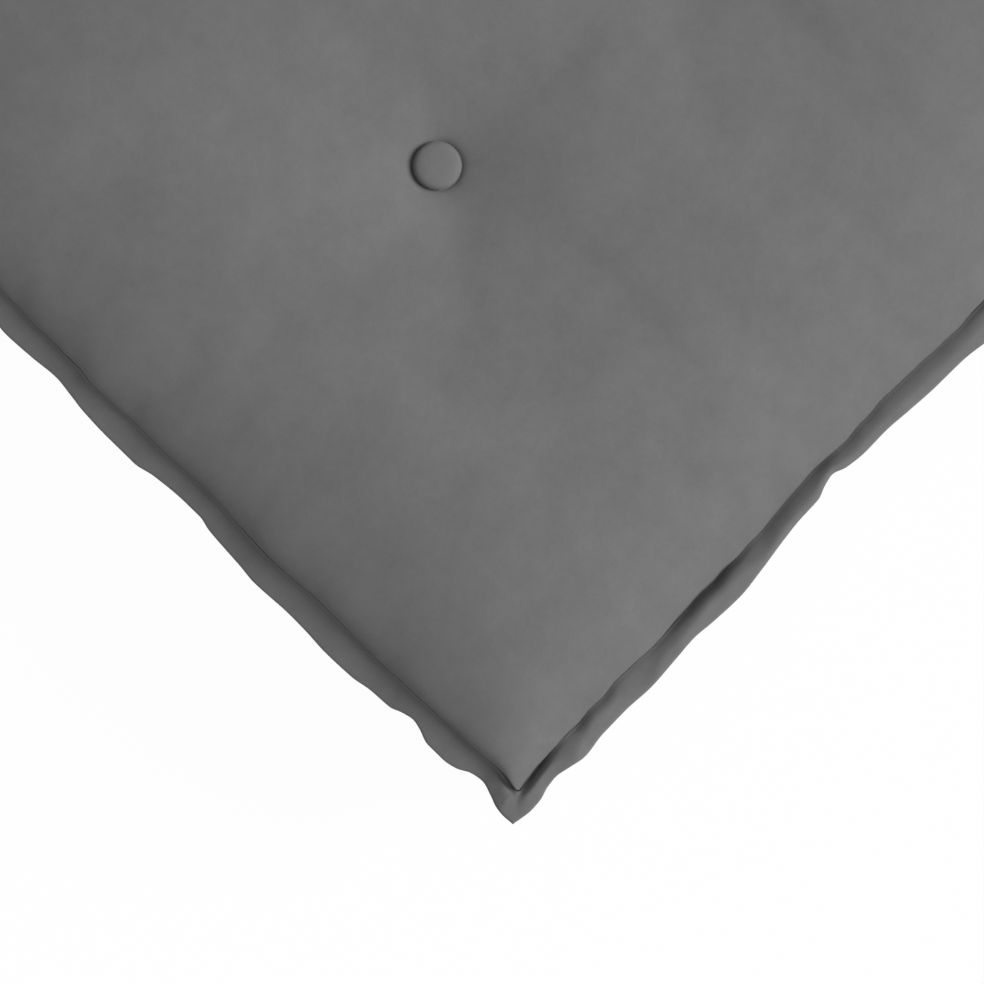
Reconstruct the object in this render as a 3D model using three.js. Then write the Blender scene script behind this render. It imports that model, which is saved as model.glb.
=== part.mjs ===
// A tufted back cushion, lying on its back face.
//
// The filled body has a crowned front panel, a boxed side and a back panel that is flattened where
// it rests. A raised flange is sewn round the edge of each panel, and a row of covered buttons
// pulls the front panel in. Millimetres, +Z up (the way the front panel faces), +X along the
// cushion, and the origin under its middle on the surface that it lies on.
import * as THREE from "three";
import { mergeGeometries, mergeVertices } from "three/addons/utils/BufferGeometryUtils.js";

// ---- overall size ----
const LENGTH = 600; // over the flanges, along X
const WIDTH = 400; // over the flanges, along Y
const THICKNESS = 120; // from the surface to the top of the crown
const FRONT_SEAM_Z = 100;
const BACK_SEAM_Z = 18;

// ---- body ----
const SEAM_HALF_X = 290; // half the length of the body along its front seam
const SEAM_HALF_Y = 193.4; // and half its width, at the corners
const DRAW_IN_Y = 4; // how far the long sides pull in between their corners
const BACK_INSET = 2.5; // how much smaller the back panel is on each side
const CHANNEL_DEPTH = 2; // of the sewn channel that holds a flange's root
const CHANNEL_HALF = 1.6; // half its height at the bottom
const CHANNEL_MOUTH = 3.2; // half its height at the body's outside
const SIDE_BULGE = 2.4; // of the boxed side between its two seams
const LIP = 0.22; // the share of the crown's height that its steep edge gains
const LIP_REACH = 4; // how soon that edge levels off
const FLANK_X = 80; // how far in from the seam the crown still rises
const FLANK_Y = 86;
const HIP = 2.6; // how softly the flanks of two sides meet in a corner
const BACK_FLANK = 64; // how far in from the seam the back panel lifts off the surface

// ---- tufting ----
const BUTTON_PITCH = 136.3;
const BUTTON_ROW = -0.7; // where the row lies across the cushion
const BUTTON_RADIUS = 9.4;
const BUTTON_HEIGHT = 4.8;
const BUTTON_SEGMENTS = 16;
const TUFT_DEPTH = 8.5; // of the dimple that a button pulls, under the crown
const TUFT_FLOOR = 13; // radius of the dimple's level floor, under the button
const TUFT_REACH = 30; // how gradually the panel climbs out of it
const BACK_TUFT_DEPTH = 8; // of the dimple at the thread's other end
const BACK_TUFT_REACH = 24;
const BACK_TUFT_FLAT = 2; // the outer part of that dimple, which the surface presses flat
const GAP = 0.3; // between a button and the panel

// Soft creases in the front panel. Each starts at the floor of the dimple round the button at x,
// runs towards heading in degrees from +X for length, and is deepest soon after its start.
const CREASES = [
  { x: -BUTTON_PITCH, heading: 358, length: 116, depth: 2.6, spread: 24 },
  { x: 0, heading: 0, length: 136, depth: 2.0, spread: 24 },
  { x: -BUTTON_PITCH, heading: 232, length: 85, depth: 1.1, spread: 10 },
  { x: -BUTTON_PITCH, heading: 54, length: 50, depth: 0.8, spread: 9 },
  { x: 0, heading: 265, length: 150, depth: 0.9, spread: 12 },
  { x: 0, heading: 292, length: 125, depth: 0.9, spread: 11 },
  { x: 0, heading: 76, length: 120, depth: 0.9, spread: 10 },
  { x: BUTTON_PITCH, heading: 281, length: 105, depth: 0.9, spread: 10 },
  { x: BUTTON_PITCH, heading: 62, length: 85, depth: 0.8, spread: 9 },
];

// ---- flanges ----
// Folds in a flange. at is the distance from the corner that the side is read from, out is how far
// the rim stands out (or in, if negative), lift is how far it rises, and spread is half the fold's
// length along the rim.
const SHORT_SIDE_FOLDS = [
  { at: 21, out: -5.0, lift: 0.6, spread: 9 },
  { at: 56, out: -3.4, lift: 0.8, spread: 7 },
  { at: 98, out: 2.0, lift: -0.4, spread: 13 },
  { at: 138, out: 2.0, lift: -0.6, spread: 13 },
  { at: 174, out: -1.8, lift: 0.4, spread: 11 },
  { at: 212, out: 1.6, lift: -0.4, spread: 13 },
  { at: 250, out: -1.1, lift: 0.4, spread: 13 },
  { at: 290, out: 1.5, lift: -0.4, spread: 16 },
  { at: 331, out: -2.4, lift: 0.8, spread: 10 },
  { at: 382, out: -3.6, lift: 0.6, spread: 9 },
];
const LONG_SIDE_FOLDS = [
  { at: 10, out: 1.6, lift: -0.4, spread: 6 },
  { at: 24, out: -1.2, lift: 0.4, spread: 6 },
  { at: 38, out: 1.8, lift: -0.2, spread: 8 },
  { at: 75, out: 1.4, lift: -0.6, spread: 14 },
  { at: 122, out: 1.6, lift: 0.2, spread: 12 },
  { at: 164, out: -2.4, lift: 1.2, spread: 12 },
  { at: 185, out: -3.8, lift: 1.2, spread: 8 },
  { at: 208, out: -1.8, lift: 0.8, spread: 18 },
  { at: 268, out: 1.2, lift: -0.4, spread: 18 },
  { at: 322, out: -2.2, lift: 0.8, spread: 10 },
  { at: 366, out: 1.8, lift: -0.4, spread: 16 },
  { at: 421, out: -3.0, lift: 1.0, spread: 9 },
  { at: 470, out: 1.6, lift: -0.4, spread: 18 },
  { at: 527, out: -1.8, lift: 0.6, spread: 12 },
  { at: 579, out: -2.6, lift: 0.6, spread: 9 },
];
// Degrees that each flange stands up from level, or hangs down from it.
const FRONT_TILT = { corner: 0, short: -27, long: 18 };
const BACK_TILT = { corner: 0, short: -4, long: -4 };
const RIM_DRAW_IN = 1; // how far the rim pulls in at the middle of a long side
const TIP_INSET = 1.6; // how far a corner's tip lies inside the rims of the short sides
const FLANGE_HALF = 1.9; // half its thickness at its fullest
const FLANGE_FULLEST = 0.55; // where that is, as a share of the way from the seam to the rim
const ROOT_HALF = 1.2; // half its thickness in the channel
const ROOT_GAP = 0.36; // between its root and the bottom of the channel
const STATION_STEP = 10; // between the flange's sections

// ---- grid lines of the body ----
const FLANK_STEPS = [0, 3, 8, 18, 34, 54, 80]; // in from a seam
const TUFT_STEPS = [9, 18, 36]; // out from a button's centre

const buttonCentres = [-BUTTON_PITCH, 0, BUTTON_PITCH];
const bell = (distance, spread) => Math.exp(-((distance / spread) ** 2));

// How much of its height a crown has reached at a distance in from one seam: a steep lip, and a
// parabola that is level at flank.
function rise(distance, flank) {
  const left = 1 - Math.min(Math.max(distance / flank, 0), 1);
  return LIP * (1 - Math.exp(-distance / LIP_REACH)) + (1 - LIP) * (1 - left * left);
}

// Two sides' shares of the height, joined softly where they meet.
const joined = (a, b) => (a ** -HIP + b ** -HIP - 1) ** (-1 / HIP);

// Where the seam's outline, and every line inside it, is drawn in to. u and v run from -1 to 1.
function planPoint(u, v) {
  return new THREE.Vector2(
    u * SEAM_HALF_X,
    v * (SEAM_HALF_Y - DRAW_IN_Y * (1 - u * u)),
  );
}

function creaseDepth(x, y) {
  let sum = 0;
  for (const c of CREASES) {
    const angle = THREE.MathUtils.degToRad(c.heading);
    const along = (x - c.x) * Math.cos(angle) + (y - BUTTON_ROW) * Math.sin(angle);
    const across = (y - BUTTON_ROW) * Math.cos(angle) - (x - c.x) * Math.sin(angle);
    const t = (along - TUFT_FLOOR) / (c.length - TUFT_FLOOR);
    if (t > 0 && t < 1) sum += c.depth * Math.sin(Math.PI * t ** 0.6) * bell(across, c.spread);
  }
  return sum;
}

function tuftDepth(x, y, depth, reach) {
  const depths = buttonCentres.map((centre) => {
    const away = Math.max(Math.hypot(x - centre, y - BUTTON_ROW) - TUFT_FLOOR, 0);
    return depth * Math.exp(-away / reach);
  });
  return Math.max(...depths);
}

function frontHeight(u, v) {
  const { x, y } = planPoint(u, v);
  const edge = FRONT_SEAM_Z + CHANNEL_MOUTH;
  const riseX = rise(SEAM_HALF_X * (1 - Math.abs(u)), FLANK_X);
  const riseY = rise(SEAM_HALF_Y * (1 - Math.abs(v)), FLANK_Y);
  const share = joined(riseX, riseY);
  const pulled = tuftDepth(x, y, TUFT_DEPTH, TUFT_REACH) + creaseDepth(x, y);
  return edge + (THICKNESS - edge) * share - pulled * Math.min(1, share * 1.5);
}

function backHeight(u, v) {
  const { x, y } = planPoint(u, v);
  const inward = Math.min(SEAM_HALF_X * (1 - Math.abs(u)), SEAM_HALF_Y * (1 - Math.abs(v)));
  const lifted = 1 - Math.min(inward / BACK_FLANK, 1);
  const tuft = Math.max(tuftDepth(x, y, BACK_TUFT_DEPTH, BACK_TUFT_REACH) - BACK_TUFT_FLAT, 0);
  return (BACK_SEAM_Z - CHANNEL_MOUTH) * lifted ** 2 + tuft;
}

// Grid lines from -1 to 1: close together at the seams and round each button, wide elsewhere.
function gridLines(half, centres) {
  const places = new Set(FLANK_STEPS.flatMap((step) => [half - step, step - half]));
  for (const centre of centres) {
    places.add(centre);
    for (const step of TUFT_STEPS) {
      places.add(centre - step);
      places.add(centre + step);
    }
  }
  return [...places].sort((a, b) => a - b).map((place) => place / half);
}

// Rows of points as quads, each cut into two triangles. They face the side from which the rows
// come one after another to the left of the way that a row's own points run.
function patch(rows) {
  const position = rows.flat().flatMap((p) => [p.x, p.y, p.z]);
  const wide = rows[0].length;
  const index = [];
  for (let j = 0; j + 1 < rows.length; j++) {
    for (let i = 0; i + 1 < wide; i++) {
      const a = j * wide + i;
      index.push(a, a + 1, a + wide + 1, a, a + wide + 1, a + wide);
    }
  }
  return new THREE.BufferGeometry()
    .setAttribute("position", new THREE.Float32BufferAttribute(position, 3))
    .setIndex(index);
}

const closed = (patches) => mergeVertices(mergeGeometries(patches), 1e-3);

// Draws a geometry in towards the back panel, which is a little smaller than the front one.
function narrowed(geometry) {
  const position = geometry.getAttribute("position");
  for (let k = 0; k < position.count; k++) {
    const down = (FRONT_SEAM_Z - position.getZ(k)) / (FRONT_SEAM_Z - BACK_SEAM_Z);
    const inset = BACK_INSET * THREE.MathUtils.clamp(down, 0, 1);
    position.setX(k, position.getX(k) * (1 - inset / SEAM_HALF_X));
    position.setY(k, position.getY(k) * (1 - inset / SEAM_HALF_Y));
  }
  return geometry;
}

// The channel that a seam pulls into the body's side: out from the seam, and height.
const channel = (seamZ) => [
  { out: 0, z: seamZ - CHANNEL_MOUTH },
  { out: -CHANNEL_DEPTH, z: seamZ - CHANNEL_HALF },
  { out: -CHANNEL_DEPTH, z: seamZ + CHANNEL_HALF },
  { out: 0, z: seamZ + CHANNEL_MOUTH },
];

// The boxed side between the channels, whose bulge is a parabola.
const bulge = [0.25, 0.5, 0.75].map((t) => ({
  out: SIDE_BULGE * 4 * t * (1 - t),
  z: THREE.MathUtils.lerp(BACK_SEAM_Z + CHANNEL_MOUTH, FRONT_SEAM_Z - CHANNEL_MOUTH, t),
}));

const sideProfile = [...channel(BACK_SEAM_Z), ...bulge, ...channel(FRONT_SEAM_Z)];

function bodyGeometry() {
  const us = gridLines(SEAM_HALF_X, buttonCentres);
  const vs = gridLines(SEAM_HALF_Y, [BUTTON_ROW]);
  const panel = (height) =>
    vs.map((v) =>
      us.map((u) => {
        const { x, y } = planPoint(u, v);
        return new THREE.Vector3(x, y, height(u, v));
      }),
    );
  const front = panel(frontHeight);
  const back = panel(backHeight).map((row) => row.reverse());

  // Once round the seam, anticlockwise from the corner at -X, -Y.
  const round = [
    ...us.map((u) => [u, -1]),
    ...vs.slice(1).map((v) => [1, v]),
    ...us.slice(0, -1).reverse().map((u) => [u, 1]),
    ...vs.slice(0, -1).reverse().map((v) => [-1, v]),
  ];
  const side = sideProfile.map(({ out, z }) =>
    round.map(([u, v]) => {
      const { x, y } = planPoint(u, v);
      return new THREE.Vector3(x + out * Math.trunc(u), y + out * Math.trunc(v), z);
    }),
  );
  return narrowed(closed([patch(front), patch(back), patch(side)]));
}

// The four sides, anticlockwise, between corners given as signs of (x, y). A side's folds are read
// from the corner at -X, -Y or from the one across from it.
const SIDES = [
  { start: [-1, -1], end: [1, -1], folds: LONG_SIDE_FOLDS, readFromEnd: false },
  { start: [1, -1], end: [1, 1], folds: SHORT_SIDE_FOLDS, readFromEnd: true },
  { start: [1, 1], end: [-1, 1], folds: LONG_SIDE_FOLDS, readFromEnd: false },
  { start: [-1, 1], end: [-1, -1], folds: SHORT_SIDE_FOLDS, readFromEnd: true },
];

function foldAt(folds, at) {
  const sum = { out: 0, lift: 0 };
  for (const fold of folds) {
    const near = bell(at - fold.at, fold.spread);
    sum.out += fold.out * near;
    sum.lift += fold.lift * near;
  }
  return sum;
}

// A flange's section where a side starts: its tip stands out past both sides.
function cornerStation([u, v]) {
  return {
    kind: "corner",
    seam: planPoint(u, v),
    way: new THREE.Vector2(u, v),
    rim: new THREE.Vector2(u * (LENGTH / 2 - TIP_INSET), (v * WIDTH) / 2),
    lift: 0,
  };
}

// A flange's section at t, from 0 to 1, along a side. turned reads the folds the other way round.
function sideStation({ start, end, folds, readFromEnd }, t, turned) {
  const [u, v] = start.map((from, k) => from + (end[k] - from) * t);
  const isLong = start[1] === end[1];
  const whole = isLong ? LENGTH : WIDTH;
  const at = readFromEnd !== turned ? whole * (1 - t) : whole * t;
  const { out, lift } = foldAt(folds, at);
  const seam = planPoint(u, v);
  const rim = seam.clone();
  if (isLong) rim.y = v * (WIDTH / 2 - RIM_DRAW_IN * (1 - u * u) + out);
  else rim.x = u * (LENGTH / 2 + out);
  const way = isLong ? new THREE.Vector2(0, v) : new THREE.Vector2(u, 0);
  return { kind: isLong ? "long" : "short", seam, way, rim, lift };
}

function flangeStations(turned) {
  const stations = [];
  for (const side of SIDES) {
    stations.push(cornerStation(side.start));
    const length = side.start[1] === side.end[1] ? LENGTH : WIDTH;
    const steps = Math.round(length / STATION_STEP);
    for (let k = 1; k < steps; k++) stations.push(sideStation(side, k / steps, turned));
  }
  return [...stations, stations[0]];
}

// The section's corners, as shares of the way from the seam to the rim, and distances above its
// middle line. A share of null is the root, in the body's channel.
const FLANGE_SECTION = [
  { share: null, off: -ROOT_HALF },
  { share: FLANGE_FULLEST, off: -FLANGE_HALF },
  { share: 1, off: 0 },
  { share: FLANGE_FULLEST, off: FLANGE_HALF },
  { share: null, off: ROOT_HALF },
];

function flangeGeometry(seamZ, tilts, turned) {
  const loop = [...FLANGE_SECTION, FLANGE_SECTION[0]];
  const stations = flangeStations(turned);
  const strips = loop.map(({ share, off }) =>
    stations.map(({ kind, seam, way, rim, lift }) => {
      const slope = Math.tan(THREE.MathUtils.degToRad(tilts[kind]));
      const isRoot = share === null;
      const root = way.clone().multiplyScalar(ROOT_GAP - CHANNEL_DEPTH).add(seam);
      const { x, y } = isRoot ? root : seam.clone().lerp(rim, share);
      const raised = isRoot ? 0 : share * (seam.distanceTo(rim) * slope + lift);
      return new THREE.Vector3(x, y, seamZ + raised + off);
    }),
  );
  return narrowed(closed([patch(strips)]));
}

// A covered button: a cloth dome, as a profile of radius and height.
function buttonGeometry() {
  const profile = [
    { r: 0, z: 0 },
    { r: 0.8, z: 0 },
    { r: 1, z: 0.3 },
    { r: 0.93, z: 0.62 },
    { r: 0.6, z: 0.92 },
    { r: 0, z: 1 },
  ].map(({ r, z }) => new THREE.Vector2(r * BUTTON_RADIUS, z * BUTTON_HEIGHT));
  return new THREE.LatheGeometry(profile, BUTTON_SEGMENTS).rotateX(Math.PI / 2);
}

function piece(name, geometry) {
  const velvet = new THREE.MeshStandardMaterial({ color: "#707070", roughness: 0.95, metalness: 0 });
  const mesh = new THREE.Mesh(geometry, velvet);
  mesh.name = name;
  return mesh;
}

const cushion = new THREE.Group();
cushion.add(
  piece("cushion_body", bodyGeometry()),
  piece("front_flange", flangeGeometry(FRONT_SEAM_Z, FRONT_TILT, false)),
  piece("back_flange", flangeGeometry(BACK_SEAM_Z, BACK_TILT, true)),
);
buttonCentres.forEach((centre, k) => {
  const button = piece(`button_${k + 1}`, buttonGeometry());
  const floor = frontHeight(centre / SEAM_HALF_X, BUTTON_ROW / SEAM_HALF_Y);
  button.position.set(centre, BUTTON_ROW, floor + GAP);
  cushion.add(button);
});

// The folds are uneven, so the pieces are moved together until the origin is under their middle.
const middle = new THREE.Box3().setFromObject(cushion).getCenter(new THREE.Vector3());
for (const mesh of cushion.children) {
  mesh.position.x -= middle.x;
  mesh.position.y -= middle.y;
}

export default cushion;
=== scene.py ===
"""A tufted back cushion in plain grey velvet, lying on a pale floor, seen from straight above.

The filled body, its two sewn flanges and its covered buttons are modelled here, each in the place
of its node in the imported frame. Shapes are worked out in millimetres in the frame's own axes
(+X along the row of buttons, +Y across, +Z up from the floor) and turned to metres in the meshes.
The body is three patches of points, its front panel, its back panel and its boxed side, with a
finer round patch in the front panel at each button. A coarse copy of them is blown up as cloth, and
the way it moves is spread over the fine patches.
"""
import math
import random

import bpy
import numpy as np
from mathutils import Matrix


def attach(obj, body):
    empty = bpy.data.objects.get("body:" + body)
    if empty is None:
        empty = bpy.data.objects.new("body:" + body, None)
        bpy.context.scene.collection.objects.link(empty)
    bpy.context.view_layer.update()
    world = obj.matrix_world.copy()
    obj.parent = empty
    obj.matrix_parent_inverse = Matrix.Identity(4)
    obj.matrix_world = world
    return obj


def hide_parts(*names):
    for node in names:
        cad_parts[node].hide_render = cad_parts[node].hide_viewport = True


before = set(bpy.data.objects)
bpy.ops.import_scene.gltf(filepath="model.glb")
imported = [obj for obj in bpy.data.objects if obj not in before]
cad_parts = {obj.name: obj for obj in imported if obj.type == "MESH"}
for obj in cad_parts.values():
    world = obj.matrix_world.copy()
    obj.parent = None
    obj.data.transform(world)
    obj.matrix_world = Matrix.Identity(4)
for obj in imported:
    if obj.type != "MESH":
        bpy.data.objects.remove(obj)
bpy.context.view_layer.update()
MM = 0.001


def table(columns, rows):
    """The rows of a table, each by the names of its columns."""
    return [dict(zip(columns, row)) for row in rows]


# ---- body, in mm ----
SEAM_HALF_X = 290.0  # half the length of the body along its seams
SEAM_HALF_Y = 193.4
DRAW_IN = 4.0  # how far the long sides pull in between their corners
BACK_INSET = 2.5  # how much smaller the back panel is on each side
FRONT_SEAM_Z = 100.0
BACK_SEAM_Z = 18.0
CORNER_RADIUS = 3.0  # of the seams' corners
CHANNEL_HALF = 1.0  # half the mouth of the sewn channel that grips a flange
CHANNEL_DEPTH = 0.25  # how deep it is where its crease is closed
CHANNEL_GAPE = 1.3  # what it gains where the crease gapes
CHANNEL_CURL = 1.0  # how much of the panel beside the seam curls into it
# How a panel rises from its seams to its crest: over the first mm it eases out of the crease, then
# comes a steep lip of its own height and reach, and a crown that ends span mm from the seam.
CREST = 18.5
SHORT_FLANK = {"ease": 0.02, "span": 80.0}
LONG_FLANK = {"ease": 1.7, "lip": 2.0, "reach": 4.0, "span": 86.0}
BACK_FLANK = {"ease": 0.4, "lip": 4.0, "reach": 3.2, "span": 86.0}
# The short sides' lip, from their corner at negative y.
SHORT_LIP = table(("at", "lip", "reach"), [
    (0, 0.6, 2.0),
    (8, 1.8, 2.4),
    (14, 3.4, 2.6),
    (21, 3.1, 2.2),
    (33, 2.5, 2.1),
    (42, 2.6, 2.3),
    (58, 3.5, 2.6),
    (70, 4.1, 3.1),
    (90, 4.3, 3.7),
    (112, 5.2, 4.2),
    (130, 5.0, 4.7),
    (150, 5.6, 4.6),
    (190, 5.0, 5.0),
    (245, 5.5, 4.8),
    (300, 5.0, 5.0),
    (370, 2.6, 2.6),
    (401, 0.6, 2.0),
])
BACK_ROUNDING = 1.5  # how softly the back's flank meets the flat that it rests on
BACK_FLAT = 0.25  # what would lie lower than this rests flat
SIDE_BULGE = 2.4
HIP_POWER = 2.6  # how softly the flanks of two sides meet in a corner

# ---- tufting, in mm ----
BUTTON_PITCH = 136.3
BUTTONS = (-BUTTON_PITCH, 0.0, BUTTON_PITCH)
BUTTON_ROW = -0.7  # where the row lies across the cushion
BUTTON_RADIUS = 9.4
BUTTON_HEIGHT = 4.8
BUTTON_SEAT = 0.3  # the gap under a button
TUFT_FLOOR = 9.6  # radius of the level floor under a button
TUFT_DEPTH = 7.5  # the broad dimple
TUFT_REACH = 30.0
PINCH_DEPTH = 1.0  # the close rim of cloth that stands up round a button
PINCH_REACH = 1.6
BACK_TUFT_DEPTH = 7.0
BACK_TUFT_FLAT = 0.8  # its outer part, shallower than this, rests flat

# Soft troughs in the front panel: from (x, y) to (to_x, to_y), deepest where deep says along it.
TROUGHS = table(("x", "y", "to_x", "to_y", "depth", "spread", "deep"), [
    (-158, 2, -30, -4, 2.5, 27, 0.4),
    (0, 0, 137, 0, 2.2, 28, 0.5),
    (-138, -8, -184, -68, 0.9, 10, 0.45),
    (-145, -3, -190, -12, 0.5, 9, 0.35),
    (-141, 8, -150, 50, 0.4, 6, 0.3),
    (-131, 8, -112, 34, 0.5, 7, 0.35),
    (-128, -5, -92, -32, 0.4, 7, 0.35),
    (-2, -12, -14, -150, 0.8, 12, 0.6),
    (8, -8, 52, -120, 0.8, 11, 0.4),
    (-14, -8, -76, -96, 0.6, 9, 0.35),
    (6, 10, 30, 118, 0.8, 9, 0.35),
    (-5, 10, -24, 90, 0.7, 7, 0.3),
    (141, -9, 158, -102, 0.8, 8, 0.4),
    (131, -7, 104, -58, 0.6, 6, 0.35),
    (142, 8, 176, 66, 0.7, 7, 0.35),
    (135, 10, 128, 92, 0.6, 7, 0.4),
])

# ---- seams and flanges, in mm ----
# In every table below, at is the distance along a side from the tip of its corner at negative x or
# y. First the short pleats where the cover is gathered into its seams: width is how gradually the
# cloth sinks into a pleat on that corner's side, reach how far in the pleat is deepest, and lean
# how far it runs along the side for each mm that it goes in. A negative depth is a small ridge.
SHORT_PLEATS = table(("at", "depth", "width", "reach", "lean"), [
    (30, -0.15, 4.0, 1.4, 0.0),
    (64, -0.15, 4.0, 1.4, 0.0),
    (79, 0.6, 4.0, 4.0, -0.2),
    (105, -0.2, 5.0, 1.4, 0.0),
    (119, 0.4, 4.0, 4.0, 0.0),
    (157, 0.7, 5.0, 4.5, 0.0),
    (196, -0.2, 6.0, 1.4, 0.0),
    (218, 0.7, 5.0, 5.0, 0.2),
    (236, -0.3, 5.0, 1.6, 0.0),
    (250, 0.8, 5.0, 4.5, 0.2),
    (281, 0.8, 5.0, 5.5, 0.2),
])
LONG_PLEATS = table(("at", "depth", "width", "reach", "lean"), [
    (40, 0.4, 5.0, 3.0, 0.3),
    (92, 0.3, 6.0, 5.0, -0.3),
    (160, 0.5, 6.0, 4.0, 0.3),
    (184, 0.7, 5.0, 7.0, 0.1),
    (222, 0.4, 5.0, 6.0, 0.2),
    (246, 0.5, 5.0, 6.0, -0.2),
])
PLEAT_RISE = 2.4  # how much more gradually the cloth comes up on a pleat's far side
PLEAT_GAP = (16.0, 40.0)  # between the pleats that aren't listed
END_GAP = 12.0  # the least between the last row of a table and its side's end

# The front seams: inset is how far a seam lies inside its plain line, and gape how open its crease
# is, from 0 to 1.
SHORT_SEAM = table(("at", "inset", "gape"), [
    (0, 0.3, 0.2),
    (10, 0.9, 0.7),
    (15, 1.6, 0.9),
    (20, 2.3, 0.4),
    (30, 2.1, 0.12),
    (36, 1.6, 0.12),
    (41, 2.0, 0.12),
    (46, 1.6, 0.12),
    (52, 0.9, 0.22),
    (63, 0.5, 0.22),
    (75, 0.7, 0.22),
    (85, 0.0, 0.12),
    (94, 0.0, 0.12),
    (108, 0.6, 0.22),
    (118, 0.2, 0.22),
    (131, -0.7, 0.22),
    (145, -1.1, 0.42),
    (155, -0.4, 0.32),
    (161, 0.1, 0.12),
    (173, 0.7, 0.12),
    (185, 0.8, 0.12),
    (198, -0.4, 0.12),
    (215, 0.2, 0.12),
    (226, -1.0, 0.12),
    (235, -1.2, 0.22),
    (245, 0.0, 0.42),
    (262, -0.1, 0.12),
])
LONG_SEAM = table(("at", "inset", "gape"), [
    (0, 0.3, 0.2),
    (9, -0.4, 0.5),
    (15, -0.2, 1.0),
    (21, 0.3, 1.0),
    (28, 0.9, 0.4),
    (36, 1.3, 0.1),
    (43, 1.1, 0.3),
    (51, 1.8, 0.1),
    (61, 1.3, 0.1),
    (72, 1.3, 0.1),
    (82, 0.8, 0.1),
    (92, 0.4, 0.2),
    (104, 0.1, 0.8),
    (112, 0.3, 1.0),
    (125, 0.2, 1.0),
    (135, 0.2, 0.3),
    (145, 0.5, 0.1),
    (156, 1.3, 0.1),
    (164, 1.7, 0.1),
    (175, 1.7, 0.1),
    (184, 2.1, 0.3),
    (192, 1.6, 0.1),
    (208, 1.4, 0.1),
    (218, 1.9, 0.1),
    (240, 1.2, 0.1),
    (256, 0.0, 0.1),
])
SEAM_REACH = 25.0  # how far into a panel a seam's inset is felt
SEAM_GAP = (18.0, 40.0)  # between the places of a seam that aren't listed
SEAM_SWAY = 0.9

# The rim of the front flange: out is how far it stands out past the line of the corners' tips.
SHORT_RIM = table(("at", "out"), [
    (0, 0.0),
    (5, 0.3),
    (9, -0.1),
    (14, -1.8),
    (20, -3.4),
    (25, -2.6),
    (31, 0.3),
    (37, 1.4),
    (45, 1.4),
    (52, -0.8),
    (56, -1.6),
    (61, -0.5),
    (66, 1.4),
    (76, 2.0),
    (85, 3.4),
    (99, 3.8),
    (110, 3.2),
    (119, 3.0),
    (138, 3.8),
    (146, 3.0),
    (154, 2.4),
    (165, 1.4),
    (171, 0.1),
    (179, 0.1),
    (195, 1.4),
    (204, 3.2),
    (218, 3.2),
    (232, 2.6),
    (241, 1.4),
    (249, 0.5),
    (262, 1.6),
    (275, 2.2),
])
LONG_RIM = table(("at", "out"), [
    (0, 0.0),
    (3, 0.5),
    (9, 1.3),
    (14, 1.0),
    (20, -0.6),
    (25, -1.1),
    (31, 0.0),
    (39, 1.5),
    (50, 0.3),
    (62, 0.2),
    (76, 1.0),
    (90, 0.2),
    (101, -0.5),
    (111, 0.4),
    (125, 1.1),
    (138, -0.2),
    (153, -2.3),
    (163, -3.3),
    (173, -3.6),
    (179, -5.6),
    (184, -6.6),
    (190, -4.6),
    (200, -3.5),
    (210, -3.6),
    (222, -2.7),
    (236, -1.7),
    (250, -1.4),
])
FOLD_GAP = (14.0, 34.0)  # between the folds that aren't listed
FOLD_OUT = 2.2
FOLD_IN = 0.4  # how much further a fold goes in than out

# How the front flange stands: rise is how far its upper face climbs out of the crease to its ridge,
# ridge where that is as a share of its width, and fall what it loses from the crease to its rim.
SHORT_FORM = table(("at", "rise", "ridge", "fall"), [
    (0, 0.3, 0.5, 0.3),
    (7, 0.3, 0.5, 0.4),
    (11, 0.1, 0.4, 1.3),
    (16, 0.0, 0.4, 2.8),
    (21, 0.0, 0.4, 4.2),
    (45, 0.0, 0.4, 4.4),
    (56, 0.0, 0.4, 4.2),
    (68, 0.0, 0.4, 6.0),
    (90, 0.0, 0.4, 5.4),
    (115, 0.0, 0.4, 6.3),
    (135, 0.0, 0.4, 6.3),
    (150, 0.0, 0.4, 6.2),
    (165, 0.0, 0.4, 5.4),
    (185, 0.0, 0.4, 5.0),
    (205, 0.0, 0.4, 5.6),
    (228, 0.0, 0.4, 5.2),
    (250, 0.0, 0.4, 5.0),
    (292, 0.0, 0.4, 4.9),
])
LONG_FORM = table(("at", "rise", "ridge", "fall"), [
    (0, 0.3, 0.5, 0.3),
    (8, 1.2, 0.35, 1.0),
    (16, 2.0, 0.35, 1.2),
    (25, 2.4, 0.4, 0.7),
    (34, 3.0, 0.85, 0.0),
    (42, 2.2, 0.5, 0.7),
    (50, 2.4, 0.4, 0.6),
    (62, 2.2, 0.45, 0.7),
    (75, 2.2, 1.0, 0.0),
    (88, 2.6, 0.6, 0.4),
    (97, 3.2, 0.65, 0.4),
    (115, 3.0, 0.45, 0.5),
    (130, 2.8, 0.5, 0.8),
    (143, 3.0, 0.8, 0.6),
    (155, 3.8, 0.75, 0.8),
    (170, 3.7, 0.75, 0.6),
    (184, 3.4, 0.7, 0.5),
    (195, 3.2, 0.7, 0.6),
    (210, 2.8, 0.65, 0.5),
    (230, 2.9, 0.65, 0.6),
    (250, 2.9, 0.6, 0.7),
])
CORNER = {"inset": 0.3, "gape": 0.2, "out": 0.0, "rise": 0.3, "ridge": 0.5, "fall": 0.3}
TIP_X = 298.4  # a corner's tip
TIP_Y = 200.4
TIP_SPAN = 9.0  # how much of the rim each half of a corner's fan covers
STATION = 1.2  # between a flange's sections
FAN = 20  # sections round a corner
FLANGE_ROOT = 0.9  # half a flange's thickness where the seam grips it
FLANGE_FULL = 0.8  # what it gains in its middle
ROOT_REACH = 0.9  # how far the root fills its channel, as a share
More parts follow.
